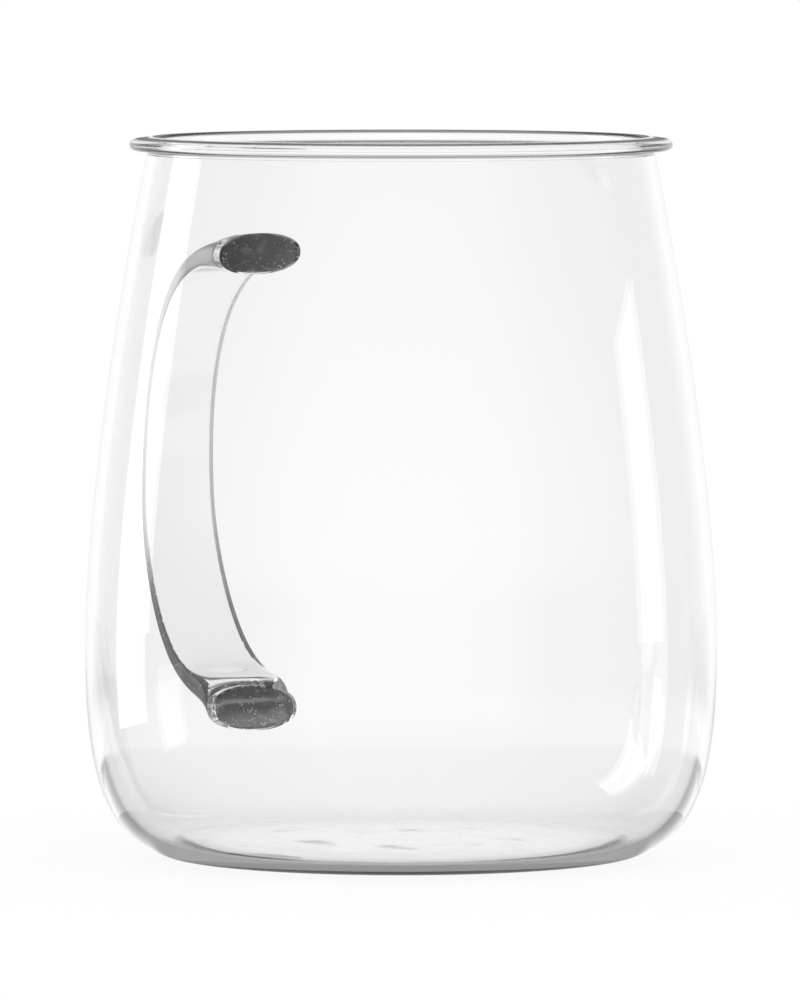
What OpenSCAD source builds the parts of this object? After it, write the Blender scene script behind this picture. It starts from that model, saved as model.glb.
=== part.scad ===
// Clear glass mug: a blown body with a folded lip, and a strap handle sealed on at two gathers.
// The axis of the body is Z, the foot stands on Z = 0, and the handle points along +X.

/* [Body] */
// Height over the lip
height = 120.4; // [110:0.2:135]
// Outer diameter at the widest place
belly_d = 105.5; // [100:0.5:112]
// Height of the widest place
belly_height = 35; // [32:0.5:42]
// Outer diameter of the wall just under the lip
neck_d = 84.5; // [78:0.5:90]
// Diameter of the flat foot
foot_d = 69.5; // [62:0.5:74]
// Thickness of the wall
wall = 1.8; // [1.4:0.1:2.6]
// Thickness of the glass at the middle of the bottom
bottom_thickness = 2.2; // [1.6:0.1:3.2]

/* [Lip] */
// Outer diameter of the lip
lip_d = 90.6; // [86:0.1:94]
// Height of the lip bead
lip_height = 1.9; // [1.6:0.1:2.6]
// Drop of the lip's outer edge below its inner edge
lip_droop = 0.4; // [0:0.1:1]

/* [Handle] */
// Distance from the axis to the middle of the strap where it stands out most
strap_reach = 79.6; // [74:0.1:86]
// Height at which the strap stands out most
grip_height = 57.2; // [54:0.2:62]
// Width of the strap
strap_width = 16.7; // [14:0.1:17]
// Thickness of the strap
strap_thickness = 2.6; // [2.2:0.1:3.6]
// Radius of the strap's long edges
strap_edge_r = 0.6; // [0.4:0.1:1]
// Turn of the upper seal about the axis from the lower one, in degrees
lean_angle = 3.3; // [0:0.1:6]

/* [Seals] */
// Distance from the top of the lip down to the middle of the upper seal
upper_seal_drop = 20.9; // [18:0.1:26]
// Height of the middle of the lower seal
lower_seal_height = 21.1; // [19:0.1:25]
// Width of both seals round the body
seal_width = 17; // [16:0.1:19]
// Extent of the upper seal up the wall
upper_seal_extent = 7; // [6:0.1:9]
// Extent of the lower seal up the wall
lower_seal_extent = 8.1; // [6.5:0.1:10]
// Least thickness of the glass gathered in a seal
seal_thickness = 1.6; // [1.2:0.1:2.2]
// Length over which the strap widens into its upper seal
upper_flare = 15; // [12:1:20]
// Length over which the strap widens into its lower seal
lower_flare = 26; // [20:1:32]

/* [Hidden] */

body_colour = [0.93, 0.95, 0.95, 0.45];
handle_colour = [0.80, 0.83, 0.84, 0.6];
seal_colour = [0.35, 0.37, 0.38, 0.9];

// Steps of the curves and sides of the sections, as plain counts
profile_steps = 16;
lip_steps = 10;
path_steps = 30;
section_sides = 32;
revolve_sides = 180;

belly_r = belly_d / 2;
neck_r = neck_d / 2;
foot_r = foot_d / 2;
lip_r = lip_d / 2;
bead_r = lip_height / 2;
bead_height = height - bead_r;
neck_height = height - lip_droop - lip_height;
bore_r = neck_r - wall;
cut_margin = wall;

// The shoulder: a curve from the neck to the belly, as shares of its fall and of its spread
shoulder_neck_share = 0.18;
shoulder_spread_share = 0.30;
shoulder_belly_share = 0.32;
// The heel: a curve from the belly to the foot, as shares of its fall and of its spread
heel_belly_share = 0.48;
heel_foot_share = 0.92;
// The well, inside the heel, in the same shares, and the rise of its last guide over the floor
well_belly_share = 0.616;
well_floor_share = 0.73;
well_rise_share = 1.11;
// The flat floor inside reaches past the foot by this share of the heel's spread
floor_spread_share = 0.203;
floor_r = foot_r + (belly_r - foot_r) * floor_spread_share;

// A point on the curve that a list of guide points pulls on, at the share t of its way
function curve_point(guides, t) =
    len(guides) == 1
        ? guides[0]
        : curve_point([for (i = [0:len(guides) - 2]) guides[i] * (1 - t) + guides[i + 1] * t], t);

// A run of points on such a curve, without its first point
function curve_run(guides, steps) =
    [for (i = [1:steps]) curve_point(guides, i / steps)];

// Guide points of the wall from the neck down to the belly, drawn in by an inset
function shoulder_guides(inset) =
    let (fall = neck_height - belly_height)
    let (spread = belly_r - neck_r)
    [
        [neck_r - inset, neck_height],
        [neck_r - inset + spread * shoulder_spread_share, neck_height - fall * shoulder_neck_share],
        [belly_r - inset, belly_height + fall * shoulder_belly_share],
        [belly_r - inset, belly_height],
    ];

// Guide points of the outside from the belly down to the foot
function heel_guides() =
    let (spread = belly_r - foot_r)
    [
        [belly_r, belly_height],
        [belly_r, belly_height * (1 - heel_belly_share)],
        [foot_r + spread * heel_foot_share, 0],
        [foot_r, 0],
    ];

// Guide points of the inside from the belly down to the floor
function well_guides() =
    let (spread = belly_r - wall - floor_r)
    let (fall = belly_height - bottom_thickness)
    [
        [belly_r - wall, belly_height],
        [belly_r - wall, belly_height - fall * well_belly_share],
        [floor_r + spread * well_floor_share, bottom_thickness * (1 + well_rise_share)],
        [floor_r, bottom_thickness],
    ];

function outer_run() = concat(
    [shoulder_guides(0)[0]],
    curve_run(shoulder_guides(0), profile_steps),
    curve_run(heel_guides(), profile_steps)
);

function inner_run() = concat(
    [shoulder_guides(wall)[0]],
    curve_run(shoulder_guides(wall), profile_steps),
    curve_run(well_guides(), profile_steps)
);

function reversed(run) = [for (i = [len(run) - 1:-1:0]) run[i]];

// An arc of the lip bead about a centre, from one angle to another
function bead_arc(centre, from, to) =
    [for (i = [0:lip_steps]) let (a = from + (to - from) * i / lip_steps) centre + bead_r * [cos(a), sin(a)]];

// The lip's outline, from the bore up over the bead and down to its underside
function lip_run() = concat(
    bead_arc([bore_r + bead_r, bead_height], 180, 90),
    bead_arc([lip_r - bead_r, bead_height - lip_droop], 90, -90)
);

// The half section of the body: the bottom, the inside, the lip and the outside
module body_section() {
    polygon(concat([[0, 0], [0, bottom_thickness]], reversed(inner_run()), lip_run(), outer_run()));
}

module body() {
    color(body_colour)
        rotate_extrude($fn = revolve_sides)
            body_section();
}

// The body as if it were solid, to cut the seals to its wall
module body_blank() {
    rotate_extrude($fn = revolve_sides)
        polygon(concat([[0, 0], [0, neck_height]], outer_run()));
}

// Radius of the wall's outside at a height, found along the curve that it lies on
function run_radius(run, z, i) =
    run[i + 1][1] <= z || i >= len(run) - 2
        ? let (t = (z - run[i][1]) / (run[i + 1][1] - run[i][1]))
          run[i][0] + t * (run[i + 1][0] - run[i][0])
        : run_radius(run, z, i + 1);

function wall_radius(z) = run_radius(outer_run(), z, 0);

upper_seal_height = height - upper_seal_drop;
upper_root = [wall_radius(upper_seal_height) + seal_thickness, upper_seal_height];
lower_root = [wall_radius(lower_seal_height) + seal_thickness, lower_seal_height];
grip = [strap_reach, grip_height];

// Guide points of the strap's middle line, as shares of the way out from the seal to the grip
// and of the way along the axis from the grip to the seal
upper_path_shares = [[0, 1], [0.361, 1], [0.925, 0.864], [1, 0.311], [1, 0]];
lower_path_shares = [[1, 0], [1, 0.444], [0.493, 1.081], [0.106, 0.779], [0, 1]];

function path_guides(root, shares) =
    [for (s = shares) [root[0] + (grip[0] - root[0]) * s[0], grip[1] + (root[1] - grip[1]) * s[1]]];

path = concat(
    [upper_root],
    curve_run(path_guides(upper_root, upper_path_shares), path_steps),
    curve_run(path_guides(lower_root, lower_path_shares), path_steps)
);
last = len(path) - 1;

// Length of the path from its start to each of its points
function lengths_from(i) = i == 0 ? 0 : lengths_from(i - 1) + norm(path[i] - path[i - 1]);
path_lengths = [for (i = [0:last]) lengths_from(i)];
path_length = path_lengths[last];

// How much of a flare is left at a distance from its seal: 1 at the seal, 0 past its end
flare_power_share = 2.4;
function flare(distance, length) = distance >= length ? 0 : pow(1 - distance / length, flare_power_share);

function flare_at(i) =
    max(flare(path_lengths[i], upper_flare), flare(path_length - path_lengths[i], lower_flare));

// Direction across the strap's thickness, away from the axis. It turns upright at the seals,
// so that each end of the strap lies flat on its seal.
function outward(i) =
    let (a = path[max(i - 1, 0)])
    let (b = path[min(i + 1, last)])
    let (along = (b - a) / norm(b - a))
    let (square_to = [-along[1], along[0]])
    let (upright = i < last / 2 ? [0, 1] : [0, -1])
    let (mixed = square_to * (1 - flare_at(i)) + upright * flare_at(i))
    mixed / norm(mixed);

// Roundness of a seal's oval: 2 is an ellipse, and a higher power is nearer a rectangle
seal_power_share = 2.3;

function rounded(value) = sign(value) * pow(abs(value), 2 / seal_power_share);

// A point of the seals' oval, in shares of its half width and half height
function oval_point(k) =
    let (a = 360 * (k + 0.5) / section_sides)
    [rounded(cos(a)), rounded(sin(a))];

// A point of the strap's own section, a flat bar with round edges
corner_points = section_sides / 4;
function bar_point(k, half_width, half_depth) =
    let (corner = floor(k / corner_points))
    let (a = 90 * (corner + (k % corner_points) / (corner_points - 1)))
    let (side = corner == 0 || corner == 3 ? 1 : -1)
    let (face = corner < 2 ? 1 : -1)
    [
        side * (half_width - strap_edge_r) + strap_edge_r * cos(a),
        face * (half_depth - strap_edge_r) + strap_edge_r * sin(a),
    ];

// Turn about the axis at a height, by which the strap leans from its lower seal to its upper one
function lean_at(z) = lean_angle * ((z - lower_seal_height) / (upper_seal_height - lower_seal_height) - 0.5);

function turned(p, a) = [p[0] * cos(a) - p[1] * sin(a), p[0] * sin(a) + p[1] * cos(a), p[2]];

// One ring of the strap: its points run round the section at the path's point i
function section_ring(i) =
    let (f = flare_at(i))
    let (half_width = (strap_width + (seal_width - strap_width) * f) / 2)
    let (extent = i < last / 2 ? upper_seal_extent : lower_seal_extent)
    let (half_depth = (strap_thickness + (extent - strap_thickness) * f) / 2)
    let (out = outward(i))
    [
        for (k = [0:section_sides - 1])
            let (bar = bar_point(k, half_width, half_depth))
            let (oval = oval_point(k))
            let (across = bar[0] * (1 - f) + half_width * oval[0] * f)
            let (depth = bar[1] * (1 - f) + half_depth * oval[1] * f)
            turned([path[i][0] + out[0] * depth, across, path[i][1] + out[1] * depth], lean_at(path[i][1]))
    ];

function ring_faces(i) = [
    for (k = [0:section_sides - 1])
        let (n = (k + 1) % section_sides)
        let (a = i * section_sides)
        let (b = (i + 1) * section_sides)
        each [[a + k, a + n, b + n], [a + k, b + n, b + k]]
];

// The strap, one skin over all the rings with a flat cap at each end
module handle() {
    start_cap = [[for (k = [section_sides - 1:-1:0]) k]];
    end_cap = [[for (k = [0:section_sides - 1]) last * section_sides + k]];
    color(handle_colour)
        polyhedron(
            points = [for (i = [0:last]) each section_ring(i)],
            faces = concat(start_cap, [for (i = [0:last - 1]) each ring_faces(i)], end_cap)
        );
}

// A gather of glass between the wall and one end of the strap
module seal(root, extent) {
    outline = [
        for (k = [0:section_sides - 1])
            let (oval = oval_point(k))
            [extent / 2 * oval[1], seal_width / 2 * oval[0]]
    ];
    depth = seal_thickness + wall + cut_margin;
    difference() {
        rotate([0, 0, lean_at(root[1])])
            translate([root[0], 0, root[1]])
                rotate([0, -90, 0])
                    linear_extrude(height = depth)
                        polygon(outline);
        body_blank();
    }
}

module upper_seal() {
    color(seal_colour) seal(upper_root, upper_seal_extent);
}

module lower_seal() {
    color(seal_colour) seal(lower_root, lower_seal_extent);
}

body();
handle();
upper_seal();
lower_seal();
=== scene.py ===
"""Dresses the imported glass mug: smooth blown glass, fused seals, a studio and a camera."""

import logging
import math
from dataclasses import dataclass
from enum import Enum
from functools import cached_property

import bmesh
import bpy
from mathutils import Matrix, Vector, noise


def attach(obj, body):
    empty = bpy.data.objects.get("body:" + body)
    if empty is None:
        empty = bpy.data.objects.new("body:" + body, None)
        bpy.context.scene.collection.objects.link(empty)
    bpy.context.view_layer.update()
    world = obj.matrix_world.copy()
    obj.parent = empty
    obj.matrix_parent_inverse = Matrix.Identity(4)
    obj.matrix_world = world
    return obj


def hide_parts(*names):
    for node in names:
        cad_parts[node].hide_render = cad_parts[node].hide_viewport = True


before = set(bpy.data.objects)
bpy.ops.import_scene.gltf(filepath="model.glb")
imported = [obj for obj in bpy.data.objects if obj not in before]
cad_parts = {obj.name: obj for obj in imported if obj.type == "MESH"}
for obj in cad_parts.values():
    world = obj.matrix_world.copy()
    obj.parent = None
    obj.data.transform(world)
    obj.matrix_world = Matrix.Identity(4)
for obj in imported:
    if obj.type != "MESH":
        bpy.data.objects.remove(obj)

log = logging.getLogger("mug")

MM = 0.001  # a millimetre, in metres
LEAN = 3.3  # turn about the axis from the lower seal to the upper one, in degrees
GLASS_IOR = 1.473
FULL_TURN = 2 * math.pi
TOUCH = 0.001  # a face this near another lies on it, in millimetres
NEAR_WALL = 0.02  # a flat face of a round wall lies this near to it, in millimetres
WELD = 1e-7  # points this near are one point, in metres
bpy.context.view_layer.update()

Pair = tuple[float, float]
Levels = tuple[Pair, ...]
Tree = bpy.types.NodeTree
Socket = bpy.types.NodeSocket


class Face(Enum):
    """What a face of the handle or of a seal shows, with its material's place on the piece."""

    CLEAR = 0
    FUSED = 1
    # Faces on the wall inside a seal, whose finish paints shade.
    SEAM = 2
    # The strap's long edges, whose finish paints shade darker towards the bottom.
    EDGE = 3


class Ray(Enum):
    """How a ray comes to a surface, with the name of that output on a Light Path node."""

    SEEN = "Is Camera Ray"
    SHADOW = "Is Shadow Ray"
    MIRRORED = "Is Glossy Ray"
    THROUGH = "Is Transmission Ray"
    WALLS_PASSED = "Transmission Depth"


def curve_point(guides: list[Pair], share: float) -> Pair:
    """Find a point on the curve that a list of guide points pulls on.

    Args:
        guides: The guide points, first and last of which the curve meets.
        share: How far along the curve the point lies, from 0 to 1.

    Returns:
        The point.
    """
    points = list(guides)
    while len(points) > 1:
        points = [
            (a[0] + (b[0] - a[0]) * share, a[1] + (b[1] - a[1]) * share)
            for a, b in zip(points, points[1:])
        ]
    return points[0]


def curve_run(guides: list[Pair], steps: int) -> list[Pair]:
    """Find a run of points on a guided curve, without its first point.

    Args:
        guides: The guide points.
        steps: The number of points.

    Returns:
        The points in order.
    """
    return [curve_point(guides, step / steps) for step in range(1, steps + 1)]


def rounded(value: float, power: float) -> float:
    """Bend a sine or cosine so that an ellipse nears a rectangle as the power grows."""
    return math.copysign(abs(value) ** (2 / power), value)


def finish_mesh(name: str, shape: bmesh.types.BMesh, body: str) -> bpy.types.Object:
    """Turn a finished bmesh into a smooth object that rides on a body.

    Args:
        name: The piece's name.
        shape: The bmesh, which is freed.
        body: The body of the frame that the piece moves with.

    Returns:
        The object, at the origin.
    """
    mesh = bpy.data.meshes.new(name)
    shape.to_mesh(mesh)
    shape.free()
    mesh.polygons.foreach_set("use_smooth", [True] * len(mesh.polygons))
    piece = bpy.data.objects.new(name, mesh)
    bpy.context.scene.collection.objects.link(piece)
    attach(piece, body)
    log.info("%s: %d faces", name, len(mesh.polygons))
    return piece


@dataclass
class BodySizes:
    """The driving sizes of the blown body, in millimetres, as the frame was built."""

    height: float = 120.4
    belly_r: float = 52.75
    belly_height: float = 35.0
    neck_r: float = 42.25
    foot_r: float = 34.75
    wall: float = 1.8
    bottom: float = 2.2
    lip_r: float = 45.3
    lip_height: float = 1.9
    lip_droop: float = 0.4
    shoulder_neck_share: float = 0.18
    shoulder_spread_share: float = 0.30
    shoulder_belly_share: float = 0.32
    heel_belly_share: float = 0.48
    heel_foot_share: float = 0.92
    well_belly_share: float = 0.616
    well_floor_share: float = 0.73
    well_rise_share: float = 1.11
    floor_spread_share: float = 0.203

    @property
    def neck_height(self) -> float:
        """Height of the lip's underside."""
        return self.height - self.lip_droop - self.lip_height

    @property
    def bead_r(self) -> float:
        """Radius of the lip bead's section."""
        return self.lip_height / 2

    @property
    def floor_r(self) -> float:
        """Radius of the flat floor inside."""
        return self.foot_r + (self.belly_r - self.foot_r) * self.floor_spread_share

    @property
    def bore_r(self) -> float:
        """Radius of the mouth."""
        return self.neck_r - self.wall


@dataclass
class BlownBody:
    """The body: wall, bottom, foot and lip in one lathe skin."""

    sizes: BodySizes
    wedges: int = 16
    wedge_steps: int = 16
    shoulder_steps: int = 64
    heel_steps: int = 44
    floor_steps: int = 32
    lip_steps: int = 14
    ripple: float = 0.05
    ring_turns: float = 21.0
    ring_share: float = 0.4
    ring_wander: float = 2.0
    wander_grain: float = 0.08
    drift_grain: Pair = (0.07, 0.22)
    drift_slice: float = 5.0

    def shoulder(self, inset: float) -> list[Pair]:
        """Guide points of the wall from the neck to the belly, drawn in by an inset."""
        s = self.sizes
        fall = s.neck_height - s.belly_height
        spread = s.belly_r - s.neck_r
        neck, belly = s.neck_r - inset, s.belly_r - inset
        return [
            (neck, s.neck_height),
            (neck + spread * s.shoulder_spread_share, s.neck_height - fall * s.shoulder_neck_share),
            (belly, s.belly_height + fall * s.shoulder_belly_share),
            (belly, s.belly_height),
        ]

    def heel(self) -> list[Pair]:
        """Guide points of the outside from the belly to the foot."""
        s = self.sizes
        spread = s.belly_r - s.foot_r
        return [
            (s.belly_r, s.belly_height),
            (s.belly_r, s.belly_height * (1 - s.heel_belly_share)),
            (s.foot_r + spread * s.heel_foot_share, 0.0),
            (s.foot_r, 0.0),
        ]

    def well(self) -> list[Pair]:
        """Guide points of the inside from the belly to the floor."""
        s = self.sizes
        start = s.belly_r - s.wall
        spread = start - s.floor_r
        fall = s.belly_height - s.bottom
        return [
            (start, s.belly_height),
            (start, s.belly_height - fall * s.well_belly_share),
            (s.floor_r + spread * s.well_floor_share, s.bottom * (1 + s.well_rise_share)),
            (s.floor_r, s.bottom),
        ]

    def bead_arc(self, centre: Pair, start: float, end: float) -> list[Pair]:
        """Points of a round edge of the lip.

        Args:
            centre: The arc's centre.
            start: Angle of its first point, in degrees.
            end: Angle of its last point, in degrees.

        Returns:
            The points.
        """
        radius = self.sizes.bead_r
        turns = [start + (end - start) * i / self.lip_steps for i in range(self.lip_steps + 1)]
        return [
            (centre[0] + radius * math.cos(math.radians(a)), centre[1] + radius * math.sin(math.radians(a)))
            for a in turns
        ]

    @cached_property
    def outer_run(self) -> list[Pair]:
        """Points of the outside from the neck to the foot."""
        return (
            [self.shoulder(0.0)[0]]
            + curve_run(self.shoulder(0.0), self.shoulder_steps)
            + curve_run(self.heel(), self.heel_steps)
        )

    @cached_property
    def inner_run(self) -> list[Pair]:
        """Points of the inside from the neck to the floor."""
        wall = self.sizes.wall
        return (
            [self.shoulder(wall)[0]]
            + curve_run(self.shoulder(wall), self.shoulder_steps)
            + curve_run(self.well(), self.heel_steps)
        )

    def outline(self) -> list[Pair]:
        """The whole half section, from the floor's middle over the lip to the foot's middle."""
        s = self.sizes
        steps = self.floor_steps
        floor = [(s.floor_r * i / steps, s.bottom) for i in range(steps)]
        inner = (s.bore_r + s.bead_r, s.height - s.bead_r)
        outer = (s.lip_r - s.bead_r, s.height - s.bead_r - s.lip_droop)
        lip = self.bead_arc(inner, 180, 90) + self.bead_arc(outer, 90, -90)
        foot = [(s.foot_r * i / steps, 0.0) for i in range(steps - 1, -1, -1)]
        return floor + self.inner_run[::-1] + lip + self.outer_run + foot

    def wall_radius(self, z: float) -> float:
        """Outer radius of the wall at a height, both in millimetres."""
        run = self.outer_run
        for upper, lower in zip(run, run[1:]):
            if lower[1] <= z:
                share = (z - upper[1]) / (lower[1] - upper[1])
                return upper[0] + (lower[0] - upper[0]) * share
        return run[-1][0]

    def wall_slope(self, z: float) -> float:
        """Change of the wall's radius with height."""
        step = 0.5
        return (self.wall_radius(z + step) - self.wall_radius(z - step)) / (2 * step)

    def build(self) -> bpy.types.Object:
        """Spin the half section into the body."""
        shape = bmesh.new()
        points = [shape.verts.new((r * MM, 0.0, z * MM)) for r, z in self.outline()]
        edges = [shape.edges.new(pair) for pair in zip(points, points[1:])]
        wedge = FULL_TURN / self.wedges
        bmesh.ops.spin(
            shape, geom=points + edges, cent=(0, 0, 0), axis=(0, 0, 1), angle=wedge, steps=self.wedge_steps,
        )
        bmesh.ops.spin(
            shape, geom=shape.verts[:] + shape.edges[:] + shape.faces[:], cent=(0, 0, 0), axis=(0, 0, 1),
            angle=FULL_TURN - wedge, steps=self.wedges - 1, use_duplicate=True,
        )
        bmesh.ops.remove_doubles(shape, verts=shape.verts, dist=WELD)
        self.ripple_floor(shape)
        bmesh.ops.recalc_face_normals(shape, faces=shape.faces)
        return finish_mesh("blown_body", shape, "mug")

    def ripple_floor(self, shape: bmesh.types.BMesh) -> None:
        """Raise and sink the inside of the bottom in soft waves, as cooling glass leaves it."""
        s = self.sizes
        for vert in shape.verts:
            place = vert.co / MM
            reach = math.hypot(place.x, place.y) / s.floor_r
            if reach < 1 and abs(place.z - s.bottom) < TOUCH:
                wander = self.ring_wander * noise.noise(place * self.wander_grain)
                rings = math.sin(reach * self.ring_turns + wander)
                along, across = self.drift_grain
                drift = noise.noise(Vector((place.x * along, place.y * across, self.drift_slice)))
                vert.co.z += self.ripple * (1 - reach ** 4) * (self.ring_share * rings + drift) * MM


@dataclass
class SealSizes:
    """One gather of glass between the wall and the strap, in millimetres and degrees."""

    name: str
    height: float
    tall: float
    bearing: float
    width: float = 17.0
    thickness: float = 1.6
    power: float = 2.3


def oval(sizes: SealSizes, points: int) -> list[Pair]:
    """Points of a seal's oval.

    Args:
        sizes: The seal.
        points: The number of points.

    Returns:
        The points, across and up, in shares of the half width and half height.
    """
    turns = [FULL_TURN * (k + 0.5) / points for k in range(points)]
    return [(rounded(math.cos(a), sizes.power), rounded(math.sin(a), sizes.power)) for a in turns]


def turned(places: list[Vector], bearing: float) -> list[Vector]:
    """Turn places round the mug's axis by a bearing in degrees and bring them to metres."""
    turn = Matrix.Rotation(math.radians(bearing), 3, "Z")
    return [turn @ place * MM for place in places]


def turned_back(face: bmesh.types.BMFace, bearing: float) -> Vector:
    """The middle of a face in millimetres, as it lay before it was turned to a bearing."""
    return Matrix.Rotation(-math.radians(bearing), 3, "Z") @ face.calc_center_median() / MM


def loft(shape: bmesh.types.BMesh, rings: list[list[Vector]]) -> None:
    """Skin a run of closed loops and fill the first and the last.

    Args:
        shape: The bmesh that takes the skin.
        rings: The places of each loop's points, all loops with the same number of them.
    """
    loops = []
    for places in rings:
        made = bmesh.ops.create_circle(shape, cap_ends=False, segments=len(places), radius=1.0)
        for vert, place in zip(made["verts"], places):
            vert.co = place
        loops.append(list({edge for vert in made["verts"] for edge in vert.link_edges}))
    for a, b in zip(loops, loops[1:]):
        bmesh.ops.bridge_loops(shape, edges=a + b)
    bmesh.ops.holes_fill(shape, edges=loops[0] + loops[-1], sides=len(rings[0]))
    bmesh.ops.recalc_face_normals(shape, faces=shape.faces)


@dataclass
class Seal:
    """A seal: an oval pad that lies on the wall and carries one end of the strap."""

    sizes: SealSizes
    body: BlownBody
    sides: int = 68
    cap_rings: int = 10
    side_rings: int = 8

    @cached_property
    def wall_r(self) -> float:
        """Radius of the wall at the seal's middle."""
        return self.body.wall_radius(self.sizes.height)

    @property
    def root_r(self) -> float:
        """Distance from the axis to the seal's outer face."""
        return self.wall_r + self.sizes.thickness

    def rim(self, scale: float) -> list[Pair]:
        """Points of the oval, across and up, drawn in by a scale."""
        s = self.sizes
        return [(s.width / 2 * scale * u, s.tall / 2 * scale * v) for u, v in oval(s, self.sides)]

    def on_wall(self, across: float, up: float) -> Vector:
        """The point of the wall's outside behind a point of the oval."""
        z = self.sizes.height + up
        r = self.body.wall_radius(z)
        return Vector((math.sqrt(r * r - across * across), across, z))

    def on_face(self, across: float, up: float) -> Vector:
        """A point of the seal's flat outer face."""
        return Vector((self.root_r, across, self.sizes.height + up))

    def build(self) -> bpy.types.Object:
        """Loft the seal from the middle of its wall face to the middle of its outer face."""
        shape = bmesh.new()
        scales = [k / self.cap_rings for k in range(1, self.cap_rings + 1)]
        rings = [[self.on_wall(*p) for p in self.rim(scale)] for scale in scales]
        for k in range(1, self.side_rings + 1):
            share = k / self.side_rings
            rings.append([self.on_wall(*p).lerp(self.on_face(*p), share) for p in self.rim(1.0)])
        rings += [[self.on_face(*p) for p in self.rim(scale)] for scale in scales[-2::-1]]
        loft(shape, [turned(ring, self.sizes.bearing) for ring in rings])
        for face in shape.faces:
            place = turned_back(face, self.sizes.bearing)
            on_face = place.x > self.root_r - TOUCH
            on_wall = math.hypot(place.x, place.y) < self.body.wall_radius(place.z) + NEAR_WALL
            # Faces on the wall take the seam's painted shade.
            shows = Face.SEAM if on_wall else Face.FUSED if on_face else Face.CLEAR
            face.material_index = shows.value
        return finish_mesh(self.sizes.name, shape, "mug")


@dataclass
class StrapSizes:
    """The strap handle, in millimetres."""

    reach: float = 79.6
    grip_height: float = 57.2
    width: float = 16.7
    thickness: float = 2.6
    corner_r: float = 0.6
    upper_flare: float = 15.0
    lower_flare: float = 26.0
    flare_power: float = 2.4


UPPER_PATH_SHARES: list[Pair] = [(0, 1), (0.361, 1), (0.925, 0.864), (1, 0.311), (1, 0)]
LOWER_PATH_SHARES: list[Pair] = [(1, 0), (1, 0.444), (0.493, 1.081), (0.106, 0.779), (0, 1)]


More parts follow.
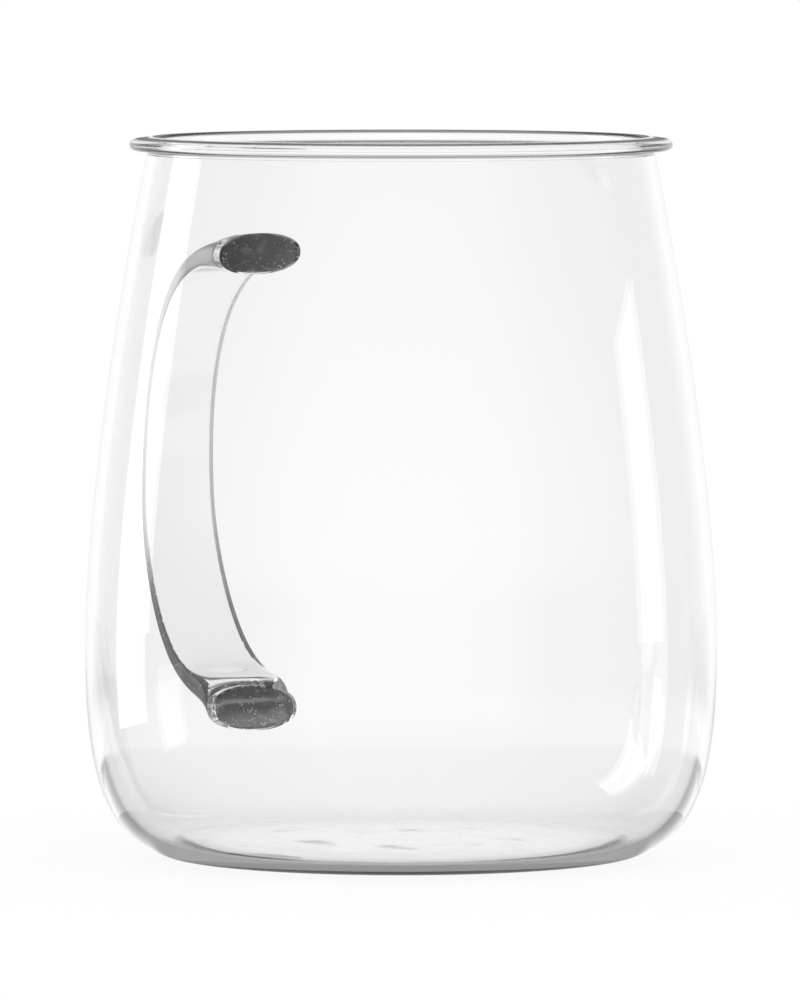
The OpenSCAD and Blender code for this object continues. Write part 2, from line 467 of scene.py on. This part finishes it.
@dataclass
class StrapHandle:
    """The handle: a flat strap lofted along its bent middle line."""

    sizes: StrapSizes
    upper: Seal
    lower: Seal
    half_steps: int = 90
    cap_rings: int = 10
    guard: float = 0.08
    edge_turn: float = 0.5

    def guides(self, seal: Seal, shares: list[Pair]) -> list[Pair]:
        """Guide points of half the middle line, between a seal and the grip."""
        s = self.sizes
        return [
            (
                seal.root_r + (s.reach - seal.root_r) * out,
                s.grip_height + (seal.sizes.height - s.grip_height) * along,
            )
            for out, along in shares
        ]

    def path(self) -> list[Vector]:
        """The middle line, as points with x outwards and y up."""
        upper = self.guides(self.upper, UPPER_PATH_SHARES)
        lower = self.guides(self.lower, LOWER_PATH_SHARES)
        run = [upper[0]] + curve_run(upper, self.half_steps) + curve_run(lower, self.half_steps)
        return [Vector(point) for point in run]

    def flare(self, distance: float, length: float) -> float:
        """How much of a flare is left at a distance from its seal, from 1 to 0."""
        return 0.0 if distance >= length else (1 - distance / length) ** self.sizes.flare_power

    def flat_outline(self, half_width: float, half_depth: float) -> list[Pair]:
        """Points of the strap's own section: a rectangle with round corners.

        Args:
            half_width: Half the strap's width.
            half_depth: Half its thickness.

        Returns:
            The points, with one on each flat next to each end of each corner's arc.
        """
        r, guard = self.sizes.corner_r, self.guard
        arc = self.upper.sides // 4 - 2
        points = []
        for corner, (sx, sy) in enumerate(((1, 1), (-1, 1), (-1, -1), (1, -1))):
            centre = (sx * (half_width - r), sy * (half_depth - r))
            turns = [math.radians(90 * (corner + j / (arc - 1))) for j in range(arc)]
            run = [(centre[0] + r * math.cos(a), centre[1] + r * math.sin(a)) for a in turns]
            first, last = turns[0], turns[-1]
            before = (run[0][0] + guard * math.sin(first), run[0][1] - guard * math.cos(first))
            after = (run[-1][0] - guard * math.sin(last), run[-1][1] + guard * math.cos(last))
            points += [before] + run + [after]
        return points

    def section(
        self, seal: SealSizes, middle: Vector, out: Vector, flare: float, scale: float,
    ) -> list[Vector]:
        """Places of one ring of the strap.

        Args:
            seal: The nearer seal.
            middle: The middle line's point.
            out: Direction across the strap's thickness.
            flare: How far the section has turned into the seal's oval.
            scale: Size of the ring, below 1 inside an end cap.

        Returns:
            The places, in the frame's metres.
        """
        s = self.sizes
        half_width = (s.width + (seal.width - s.width) * flare) / 2
        half_depth = (s.thickness + (seal.tall - s.thickness) * flare) / 2
        flat = self.flat_outline(half_width, half_depth)
        places = []
        for (fu, fv), (ou, ov) in zip(flat, oval(seal, self.upper.sides)):
            across = (fu + (half_width * ou - fu) * flare) * scale
            depth = (fv + (half_depth * ov - fv) * flare) * scale
            places.append(Vector((middle.x + out.x * depth, across, middle.y + out.y * depth)))
        top, foot = self.upper.sizes, self.lower.sizes
        share = (middle.y - foot.height) / (top.height - foot.height)
        return turned(places, foot.bearing + (top.bearing - foot.bearing) * share)

    def build(self) -> bpy.types.Object:
        """Loft the strap over all its rings and close its two ends."""
        s = self.sizes
        path = self.path()
        last = len(path) - 1
        lengths = [0.0]
        for a, b in zip(path, path[1:]):
            lengths.append(lengths[-1] + (b - a).length)
        inner = [k / self.cap_rings for k in range(1, self.cap_rings)]
        rings = []
        for i, middle in enumerate(path):
            from_top, from_foot = lengths[i], lengths[-1] - lengths[i]
            flare = max(self.flare(from_top, s.upper_flare), self.flare(from_foot, s.lower_flare))
            along = (path[min(i + 1, last)] - path[max(i - 1, 0)]).normalized()
            seal, upright = (self.upper, Vector((0, 1))) if i < last / 2 else (self.lower, Vector((0, -1)))
            out = (Vector((-along.y, along.x)) * (1 - flare) + upright * flare).normalized()
            scales = inner + [1.0] if i == 0 else [1.0] + inner[::-1] if i == last else [1.0]
            rings += [self.section(seal.sizes, middle, out, flare, scale) for scale in scales]
        shape = bmesh.new()
        loft(shape, rings)
        shape.normal_update()
        for face in shape.faces:
            seal = self.upper if face.calc_center_median().z > s.grip_height * MM else self.lower
            fused = abs(turned_back(face, seal.sizes.bearing).x - seal.root_r) < TOUCH
            edge = abs(face.normal.y) > self.edge_turn
            # The long edge faces take the finish with painted shade.
            shows = Face.FUSED if fused else Face.EDGE if edge else Face.CLEAR
            face.material_index = shows.value
        return finish_mesh("strap", shape, "mug")


def new_material(name: str) -> tuple[bpy.types.Material, Tree]:
    """Start a node material.

    Args:
        name: The material's name.

    Returns:
        The material and its empty node tree.
    """
    material = bpy.data.materials.new(name)
    material.use_nodes = True
    material.node_tree.nodes.clear()
    return material, material.node_tree


def add_node(tree: Tree, kind: str, **inputs) -> bpy.types.Node:
    """Add a node.

    Args:
        tree: The tree that takes it.
        kind: The node's type, after the word ShaderNode.
        inputs: A socket or a value for each input, by its name with low dashes for spaces.

    Returns:
        The node.
    """
    node = tree.nodes.new("ShaderNode" + kind)
    for name, value in inputs.items():
        feed(tree, node.inputs[name.replace("_", " ")], value)
    return node


def feed(tree: Tree, socket: Socket, value: Socket | float | tuple[float, ...]) -> None:
    """Link a socket to an input, or set the input to a value."""
    if isinstance(value, bpy.types.NodeSocket):
        tree.links.new(value, socket)
    else:
        socket.default_value = value


def grey(level: float) -> tuple[float, float, float, float]:
    """A grey colour."""
    return level, level, level, 1.0


def show(tree: Tree, shader: Socket, kind: str = "OutputMaterial") -> None:
    """Let a shader be what the material or the world shows."""
    add_node(tree, kind, Surface=shader)


def place_of(tree: Tree, coordinates: str = "Object") -> Socket:
    """The place on the piece, in metres, or the direction from it where the world asks."""
    return add_node(tree, "TexCoord").outputs[coordinates]


def ray_nodes(tree: Tree, *rays: Ray) -> list[Socket]:
    """Sockets that tell how a ray comes, one for each name."""
    light = add_node(tree, "LightPath")
    return [light.outputs[ray.value] for ray in rays]


def math_node(tree: Tree, operation: str, *values: Socket | float) -> Socket:
    """Add a math node.

    Args:
        tree: The tree that takes it.
        operation: The node's operation.
        values: A socket or a number for each input.

    Returns:
        The node's output.
    """
    node = add_node(tree, "Math")
    node.operation = operation
    for socket, value in zip(node.inputs, values):
        feed(tree, socket, value)
    return node.outputs[0]


def blend_node(tree: Tree, share: Socket, first: Socket, second: Socket | float) -> Socket:
    """Add a blend of two numbers.

    Args:
        tree: The tree that takes it.
        share: How much of the second number counts, from 0 to 1.
        first: The first number.
        second: The second number.

    Returns:
        The blend.
    """
    return math_node(tree, "MULTIPLY_ADD", share, math_node(tree, "SUBTRACT", second, first), first)


def mix_node(tree: Tree, share: Socket, first: Socket, second: Socket) -> Socket:
    """Add a mix of two shaders.

    Args:
        tree: The tree that takes it.
        share: How much of the second shader shows, from 0 to 1.
        first: The first shader.
        second: The second shader.

    Returns:
        The mix.
    """
    node = add_node(tree, "MixShader")
    for socket, value in zip(node.inputs, (share, first, second)):
        feed(tree, socket, value)
    return node.outputs[0]


def vector_node(tree: Tree, operation: str, vector: Socket) -> bpy.types.Node:
    """Add a vector node that reads one vector."""
    node = add_node(tree, "VectorMath")
    node.operation = operation
    feed(tree, node.inputs[0], vector)
    return node


def dot_node(tree: Tree, vector: Socket, direction: Vector) -> Socket:
    """Add the reach of a vector along a direction.

    Args:
        tree: The tree that takes it.
        vector: The socket that it reads.
        direction: The direction, whose length counts too.

    Returns:
        The node's output.
    """
    node = vector_node(tree, "DOT_PRODUCT", vector)
    feed(tree, node.inputs[1], direction)
    return node.outputs["Value"]


def ramp_node(tree: Tree, value: Socket, levels: Levels) -> Socket:
    """Add a ramp of grey levels.

    Args:
        tree: The tree that takes it.
        value: The socket that it reads.
        levels: Positions with their grey levels, in order.

    Returns:
        The ramp's output.
    """
    node = add_node(tree, "ValToRGB", Fac=value)
    elements = node.color_ramp.elements
    for element, (position, level) in zip(elements, (levels[0], levels[-1])):
        element.position = position
        element.color = grey(level)
    for position, level in levels[1:-1]:
        elements.new(position).color = grey(level)
    return node.outputs[0]


def footprint_group(power: float) -> Tree:
    """Build the mask that is 1 where a seal covers the wall.

    Args:
        power: Roundness of the seal's oval.

    Returns:
        The node group, with its inputs in metres.
    """
    group = bpy.data.node_groups.new("seal_footprint", "ShaderNodeTree")
    for name in ("Bearing", "Height", "Half Width", "Half Height", "Wall Radius", "Wall Slope", "Depth"):
        group.interface.new_socket(name=name, in_out="INPUT", socket_type="NodeSocketFloat")
    group.interface.new_socket(name="Mask", in_out="OUTPUT", socket_type="NodeSocketFloat")
    given = group.nodes.new("NodeGroupInput").outputs
    result = group.nodes.new("NodeGroupOutput")
    turn = add_node(group, "VectorRotate", Vector=place_of(group))
    turn.rotation_type = "Z_AXIS"
    feed(group, turn.inputs["Angle"], math_node(group, "MULTIPLY", given["Bearing"], -1.0))
    x, y, z = add_node(group, "SeparateXYZ", Vector=turn.outputs[0]).outputs
    rise = math_node(group, "SUBTRACT", z, given["Height"])
    shares = (
        math_node(group, "DIVIDE", y, given["Half Width"]),
        math_node(group, "DIVIDE", rise, given["Half Height"]),
    )
    across, up = (math_node(group, "POWER", math_node(group, "ABSOLUTE", share), power) for share in shares)
    inside = math_node(group, "LESS_THAN", math_node(group, "ADD", across, up), 1.0)
    side = math_node(group, "GREATER_THAN", x, 0.0)
    radius = math_node(group, "SQRT", math_node(
        group, "ADD", math_node(group, "MULTIPLY", x, x), math_node(group, "MULTIPLY", y, y)))
    wall = math_node(group, "MULTIPLY_ADD", rise, given["Wall Slope"], given["Wall Radius"])
    outer = math_node(group, "GREATER_THAN", radius, math_node(group, "SUBTRACT", wall, given["Depth"]))
    mask = math_node(group, "MULTIPLY", math_node(group, "MULTIPLY", inside, side), outer)
    feed(group, result.inputs["Mask"], mask)
    return group


def seal_cover(tree: Tree, seals: list[Seal], inset: float = 1.0) -> Socket:
    """Add the masks of several seals to a material.

    Args:
        tree: The material's tree.
        seals: The seals.
        inset: Share of each oval's size that counts.

    Returns:
        A socket that is 1 inside any of the ovals.
    """
    group = bpy.data.node_groups.get("seal_footprint") or footprint_group(seals[0].sizes.power)
    covered: Socket | None = None
    for seal in seals:
        s, body = seal.sizes, seal.body
        node = tree.nodes.new("ShaderNodeGroup")
        node.node_tree = group
        node.inputs["Bearing"].default_value = math.radians(s.bearing)
        node.inputs["Height"].default_value = s.height * MM
        node.inputs["Half Width"].default_value = s.width / 2 * inset * MM
        node.inputs["Half Height"].default_value = s.tall / 2 * inset * MM
        node.inputs["Wall Radius"].default_value = body.wall_radius(s.height) * MM
        node.inputs["Wall Slope"].default_value = body.wall_slope(s.height)
        node.inputs["Depth"].default_value = body.sizes.wall / 2 * MM
        mask = node.outputs["Mask"]
        covered = mask if covered is None else math_node(tree, "MAXIMUM", covered, mask)
    return covered


@dataclass(frozen=True)
class GlassFinish:
    """A clear glass, which may show two lines of painted shade round its fire-polished lip."""

    name: str
    tint: float
    # Grey, reach and levels of the painted shade lines round the lip.
    lip_shade_tone: float = 0.02
    lip_reach: float = 2.0
    lip_outside_shade: Levels = ((0.0, 0.0), (0.78, 0.0), (0.82, 0.75), (0.93, 0.75), (0.96, 0.0), (1.0, 0.0))
    lip_inside_shade: Levels = ((0.0, 0.0), (0.7, 0.0), (0.8, 0.7), (1.0, 0.7))

    def lip_shade_lines(self, tree: Tree, lip: Pair) -> Socket:
        """Add the painted shade: dark lines on both sides of the lip's top.

        Args:
            tree: The material's tree.
            lip: Radius and height of the lip's top, in millimetres.

        Returns:
            How much painted shade darkens the glass, from 0 to 1.
        """
        radius, top = lip
        place = place_of(tree)
        across, along, up = (dot_node(tree, place, axis) for axis in Matrix.Identity(3))
        reach = math_node(tree, "SQRT", math_node(
            tree, "MULTIPLY_ADD", across, across, math_node(tree, "MULTIPLY", along, along)))
        share = math_node(tree, "MULTIPLY_ADD", up, 1 / (self.lip_reach * MM), 1 - top / self.lip_reach)
        outside = math_node(tree, "GREATER_THAN", reach, radius * MM)
        inner, outer = (ramp_node(tree, share, levels) for levels in (self.lip_inside_shade, self.lip_outside_shade))
        return blend_node(tree, outside, inner, outer)

    def material(self, seals: list[Seal] = (), lip: Pair | None = None) -> bpy.types.Material:
        """Build the material.

        Args:
            seals: The seals that open this glass's outer wall.
            lip: Radius and height of the lip's top, in millimetres, where it shows its lines of painted
                shade.

        Returns:
            The material.
        """
        material, tree = new_material(self.name)
        glass = add_node(
            tree, "BsdfPrincipled", Base_Color=grey(self.tint), IOR=GLASS_IOR, Roughness=0.0,
            Transmission_Weight=1.0,
        )
        clear = add_node(tree, "BsdfTransparent", Color=grey(self.tint))
        shadow, = ray_nodes(tree, Ray.SHADOW)
        shader = mix_node(tree, shadow, glass.outputs[0], clear.outputs[0])
        if lip:
            # A dark diffuse mixed over the glass paints the shade lines on the lip.
            line = add_node(tree, "BsdfDiffuse", Color=grey(self.lip_shade_tone))
            shader = mix_node(tree, self.lip_shade_lines(tree, lip), shader, line.outputs[0])
        show(tree, shader)
        if seals:
            feed(tree, glass.inputs["Alpha"], math_node(tree, "SUBTRACT", 1.0, seal_cover(tree, seals)))
        return material


@dataclass(frozen=True)
class FusedFinish:
    """A face where glass has fused with glass, which shows nothing."""

    name: str = "fused_face"

    def material(self) -> bpy.types.Material:
        """Build the material."""
        material, tree = new_material(self.name)
        show(tree, add_node(tree, "BsdfPrincipled", Alpha=0.0).outputs[0])
        return material


@dataclass(frozen=True)
class SeamShadeFinish:
    """The seam inside a seal, painted dark as shade where the light is held back in the strap, with fold
    streaks and lighter seeds of gas in it.
    """

    name: str = "seam_painted_shade"
    roughness: float = 0.5
    inset: float = 0.93
    cover: float = 0.86
    fold_shade_levels: Levels = ((0.0, 0.01), (0.42, 0.02), (0.5, 0.06), (0.58, 0.03), (0.66, 0.2), (1.0, 0.35))
    fold_grain: tuple[float, float, float] = (170.0, 170.0, 420.0)
    fold_tilt: tuple[float, float, float] = (0.5, 0.0, 0.0)
    fold_detail: float = 3.0
    fold_swirl: float = 1.6
    seed_grain: float = 1500.0
    seed_tone: float = 0.7
    patch_grain: float = 320.0
    patch_spread: Pair = (0.9, -0.28)

    def shade_tone(self, tree: Tree) -> Socket:
        """Add the painted shade: a dark grey of fold streaks, with lighter seeds in patches over it."""
        place = place_of(tree)
        stretch = add_node(tree, "Mapping", Vector=place, Scale=self.fold_grain, Rotation=self.fold_tilt)
        fold = add_node(
            tree, "TexNoise", Vector=stretch.outputs[0], Scale=1.0, Detail=self.fold_detail,
            Distortion=self.fold_swirl,
        )
        seed = add_node(tree, "TexVoronoi", Vector=place, Scale=self.seed_grain)
        patch = add_node(tree, "TexNoise", Vector=place, Scale=self.patch_grain)
        size = math_node(tree, "MULTIPLY_ADD", patch.outputs[0], *self.patch_spread)
        seeds = math_node(tree, "LESS_THAN", seed.outputs["Distance"], size)
        fold_shade_levels = ramp_node(tree, fold.outputs[0], self.fold_shade_levels)
        return math_node(tree, "MAXIMUM", fold_shade_levels, math_node(tree, "MULTIPLY", seeds, self.seed_tone))

    def material(self, seals: list[Seal]) -> bpy.types.Material:
        """Build the material.

        Args:
            seals: The seals that it lies in.

        Returns:
            The material.
        """
        material, tree = new_material(self.name)
        # A dark colour with part alpha paints shade over each seal's footprint.
        cover = math_node(tree, "MULTIPLY", seal_cover(tree, seals, self.inset), self.cover)
        glass = add_node(
            tree, "BsdfPrincipled", Base_Color=self.shade_tone(tree), Roughness=self.roughness, Alpha=cover,
        )
        show(tree, glass.outputs[0])
        return material


@dataclass(frozen=True)
class EdgeShadeFinish:
    """The strap's two long edges, dull from the drawing, with painted shade: grey high up, dark low down,
    with lighter seed specks low down.
    """

    name: str = "edge_painted_shade"
    roughness: float = 0.3
    gleam: float = 0.15
    top: float = 125.0
    # Grey levels by height paint shade on the edges, darker towards the bottom.
    levels: Levels = ((0.0, 0.01), (0.29, 0.02), (0.36, 0.15), (0.43, 0.46), (1.0, 0.48))
    seeded_below: float = 48.0
    seed_grain: float = 900.0
    seed_size: float = 0.16

    def material(self) -> bpy.types.Material:
        """Build the material."""
        material, tree = new_material(self.name)
        place = place_of(tree)
        up = add_node(tree, "SeparateXYZ", Vector=place).outputs["Z"]
        level = ramp_node(tree, math_node(tree, "MULTIPLY", up, 1 / (self.top * MM)), self.levels)
        seed = add_node(tree, "TexVoronoi", Vector=place, Scale=self.seed_grain)
        low = math_node(tree, "LESS_THAN", up, self.seeded_below * MM)
        seeds = math_node(tree, "LESS_THAN", seed.outputs["Distance"], self.seed_size)
        shade_tone = math_node(tree, "MAXIMUM", level, math_node(tree, "MULTIPLY", seeds, low))
        glass = add_node(
            tree, "BsdfPrincipled", Base_Color=shade_tone, IOR=GLASS_IOR, Roughness=self.roughness,
            Specular_IOR_Level=self.gleam, Transmission_Weight=1.0,
        )
        show(tree, glass.outputs[0])
        return material


@dataclass(frozen=True)
class StripSizes:
    """A tall soft light beside the mug, in metres, degrees to the left of the camera, and watts."""

    name: str
    bearing: float
    width: float
    tall: float
    low: float
    power: float
    distance: float = 1.2


@dataclass
class Studio:
    """The camera, the floor, the room's light and the two strip lights, in metres."""

    azimuth: float = 238.35
    distance: float = 2.003
    eye_height: float = 0.1756
    aim_height: float = 0.0597
    lens: float = 541.0
    sensor: float = 36.0
    view_end: float = 50.0
    sideways: float = -0.00017
    matt_level: float = 0.9
    floor_half: float = 0.8
    floor_drop: float = 0.0003
    floor_tone: float = 0.8
    floor_glow: float = 0.85
    floor_white: float = 1.05
    mirror_reach: float = 0.06
    mirror_facing: float = 0.2
    foot_levels: Levels = ((0.0, 1.0), (0.034, 1.0), (0.037, 0.0), (1.0, 0.0))
    shade_levels: Levels = ((0.0, 1.0), (0.115, 1.0), (0.125, 0.0), (1.0, 0.0))
    near_levels: Levels = ((0.0, 1.0), (0.2, 1.0), (0.3, 0.0), (1.0, 0.0))
    side_levels: Levels = ((0.0, 0.0), (0.0455, 0.0), (0.0475, 1.0), (1.0, 1.0))
    side_slope: float = 0.45
    front_levels: Levels = ((0.0, 0.0), (0.52, 0.0), (0.6, 1.0), (1.0, 1.0))
    dim_level: float = 0.33
    rise_levels: Levels = ((0.0, 1.0), (0.15, 1.0), (0.3, 0.5), (0.5, 0.08), (1.0, 0.03))
    round_levels: Levels = (
        (0.0, 1.0), (0.06, 1.0), (0.16, 0.6), (0.3, 0.48), (0.5, 0.4), (0.75, 0.35), (0.9, 0.7), (1.0, 0.8),
    )
    left_strip: StripSizes = StripSizes("left_strip", 115, 0.42, 1.0, -0.16, 2.6)
    right_strip: StripSizes = StripSizes("right_strip", -104, 0.32, 0.64, -0.37, 0.75)

    def back(self) -> Vector:
        """The level direction from the mug to the camera."""
        a = math.radians(self.azimuth)
        return Vector((math.sin(a), -math.cos(a), 0))

    def right(self) -> Vector:
        """The level direction to the camera's right."""
        a = math.radians(self.azimuth)
        return Vector((math.cos(a), math.sin(a), 0))

    def aimed(self, name: str, data: bpy.types.ID, place: Vector, aim: Vector) -> bpy.types.Object:
        """Stand a camera or a lamp somewhere and turn it to what it looks at.

        Args:
            name: The object's name.
            data: The camera or the lamp.
            place: Where it stands.
            aim: The point that it looks at.

        Returns:
            The object.
        """
        thing = bpy.data.objects.new(name, data)
        bpy.context.scene.collection.objects.link(thing)
        turn = (aim - place).to_track_quat("-Z", "Y").to_matrix().to_4x4()
        thing.matrix_world = Matrix.Translation(place) @ turn
        return thing

    def camera(self) -> None:
        """Place the camera of the photograph."""
        shift = self.right() * self.sideways
        eye = self.back() * self.distance + Vector((0, 0, self.eye_height)) + shift
        aim = Vector((0, 0, self.aim_height)) + shift
        data = bpy.data.cameras.new("camera")
        data.lens = self.lens
        data.sensor_fit = "HORIZONTAL"
        data.sensor_width = self.sensor
        data.clip_end = self.view_end
        bpy.context.scene.camera = self.aimed("camera", data, eye, aim)

    def paths(self) -> None:
        """Let light pass through all the walls of the glass and along the strap."""
        cycles = bpy.context.scene.cycles
        cycles.max_bounces = 20
        cycles.glossy_bounces = 8
        cycles.transmission_bounces = 14
        cycles.transparent_max_bounces = 24

    def facing_camera(self, tree: Tree, vector: Socket) -> Socket:
        """Add how far a direction faces the camera's side of the mug.

        Args:
            tree: The tree that takes it.
            vector: The socket with the direction.

        Returns:
            A socket that is 1 on the camera's side and 0 on the far side.
        """
        return math_node(tree, "MULTIPLY_ADD", dot_node(tree, vector, self.back()), 0.5, 0.5)

    def floor_light(self, tree: Tree, place: Socket, reach: Socket, facing: Socket) -> Socket:
        """Add how bright the floor is to the glass: dim beside and before the mug, plain near it.

        Args:
            tree: The floor's tree.
            place: The place on the floor.
            reach: Its distance from the axis.
            facing: How far it lies to the camera's side.

        Returns:
            The level.
        """
        far = ramp_node(tree, facing, self.round_levels)
        across = math_node(tree, "ABSOLUTE", dot_node(tree, place, self.right()))
        toward = dot_node(tree, place, self.back() * self.side_slope)
        beside = ramp_node(tree, math_node(tree, "ADD", across, toward), self.side_levels)
        before = ramp_node(tree, facing, self.front_levels)
        shade = ramp_node(tree, reach, self.shade_levels)
        dim = math_node(tree, "MULTIPLY", math_node(tree, "MAXIMUM", beside, before), shade)
        plain = blend_node(tree, ramp_node(tree, reach, self.near_levels), far, 1.0)
        foot = ramp_node(tree, reach, self.foot_levels)
        return math_node(tree, "MAXIMUM", blend_node(tree, dim, plain, self.dim_level), foot)

    def floor_material(self) -> bpy.types.Material:
        """Build the floor's finish: paint that takes the shadow, a glow to the camera and the glass."""
        material, tree = new_material("floor_paint")
        seen, mirrored, through, walls = ray_nodes(
            tree, Ray.SEEN, Ray.MIRRORED, Ray.THROUGH, Ray.WALLS_PASSED)
        by_glass = math_node(tree, "MAXIMUM", through, mirrored)
        glowing = math_node(tree, "MAXIMUM", by_glass, math_node(tree, "MULTIPLY", seen, self.floor_glow))
        place = place_of(tree)
        reach = vector_node(tree, "LENGTH", place).outputs["Value"]
        facing = self.facing_camera(tree, vector_node(tree, "NORMALIZE", place).outputs["Vector"])
        white = math_node(tree, "MULTIPLY", seen, self.floor_white)
        level = math_node(tree, "MAXIMUM", self.floor_light(tree, place, reach, facing), white)
        paint = add_node(tree, "BsdfDiffuse", Color=grey(self.floor_tone))
        glow = add_node(tree, "Emission", Color=grey(1.0), Strength=level)
        floor = mix_node(tree, glowing, paint.outputs[0], glow.outputs[0])
        beyond = math_node(
            tree, "MULTIPLY", math_node(tree, "GREATER_THAN", reach, self.mirror_reach),
            math_node(tree, "GREATER_THAN", facing, self.mirror_facing))
        outside_in = math_node(tree, "GREATER_THAN", mirrored, walls)
        open_air = add_node(tree, "BsdfTransparent").outputs[0]
        show(tree, mix_node(tree, math_node(tree, "MULTIPLY", beyond, outside_in), floor, open_air))
        return material

    def floor(self) -> None:
        """Lay a pale floor just under the foot."""
        shape = bmesh.new()
        bmesh.ops.create_grid(shape, x_segments=2, y_segments=2, size=self.floor_half)
        mesh = bpy.data.meshes.new("floor")
        shape.to_mesh(mesh)
        shape.free()
        mesh.transform(Matrix.Translation((0, 0, -self.floor_drop)))
        mesh.materials.append(self.floor_material())
        floor = bpy.data.objects.new("floor", mesh)
        bpy.context.scene.collection.objects.link(floor)

    def room(self) -> None:
        """Fill the room with soft light: plain on matt things, white to the camera, shaped for glass."""
        world = bpy.data.worlds.new("room")
        bpy.context.scene.world = world
        world.use_nodes = True
        tree = world.node_tree
        tree.nodes.clear()
        way = place_of(tree, "Generated")
        rise = ramp_node(tree, add_node(tree, "SeparateXYZ", Vector=way).outputs["Z"], self.rise_levels)
        round_about = ramp_node(tree, self.facing_camera(tree, way), self.round_levels)
        shaped = math_node(tree, "MULTIPLY", rise, round_about)
        seen, mirrored, through = ray_nodes(tree, Ray.SEEN, Ray.MIRRORED, Ray.THROUGH)
        by_glass = math_node(tree, "MAXIMUM", mirrored, through)
        matt = math_node(tree, "MULTIPLY", math_node(tree, "SUBTRACT", 1.0, by_glass), self.matt_level)
        level = math_node(tree, "MAXIMUM", math_node(tree, "MULTIPLY_ADD", shaped, by_glass, matt), seen)
        background = add_node(tree, "Background", Color=grey(1.0), Strength=level)
        show(tree, background.outputs[0], "OutputWorld")

    def strip(self, sizes: StripSizes) -> None:
        """Stand a tall soft light beside the mug.

        Args:
            sizes: The light's place, size and power.
        """
        b = math.radians(sizes.bearing)
        place = (self.back() * math.cos(b) - self.right() * math.sin(b)) * sizes.distance
        place.z = sizes.low + sizes.tall / 2
        data = bpy.data.lights.new(sizes.name, "AREA")
        data.shape = "RECTANGLE"
        data.size = sizes.width
        data.size_y = sizes.tall
        data.energy = sizes.power
        self.aimed(sizes.name, data, place, Vector((0, 0, place.z)))

    def build(self) -> None:
        """Set up the camera, the floor and all the light."""
        self.camera()
        self.floor()
        self.room()
        self.strip(self.left_strip)
        self.strip(self.right_strip)
        self.paths()
        bpy.context.scene.view_settings.view_transform = "Standard"


def main() -> None:
    """Build the pieces, dress them and set the stage."""
    logging.basicConfig(level=logging.INFO, format="%(name)s: %(message)s")
    body = BlownBody(BodySizes())
    upper = Seal(SealSizes(name="upper_gather", height=99.5, tall=7.0, bearing=LEAN / 2), body)
    lower = Seal(SealSizes(name="lower_gather", height=21.1, tall=8.1, bearing=-LEAN / 2), body)
    strap = StrapHandle(StrapSizes(), upper, lower)

    shell = body.build()
    lip = (body.sizes.bore_r + body.sizes.bead_r, body.sizes.height)
    shell.data.materials.append(GlassFinish("blown_glass", 0.993).material([upper, lower], lip))
    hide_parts("body")

    finishes = {
        Face.CLEAR: GlassFinish("drawn_glass", 0.998).material(),
        Face.FUSED: FusedFinish().material(),
        # The seam finish paints shade over the seals' footprints.
        Face.SEAM: SeamShadeFinish().material([upper, lower]),
        # The edge finish paints shade, darker towards the bottom.
        Face.EDGE: EdgeShadeFinish().material(),
    }
    for maker, node, slot in (
        (strap, "handle", "handle_glass"),
        (upper, "upper_seal", "seal_glass"),
        (lower, "lower_seal", "seal_glass"),
    ):
        piece = maker.build()
        for face in Face:
            piece.data.materials.append(finishes[face])
        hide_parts(node)

    Studio().build()


if __name__ == "__main__":
    main()
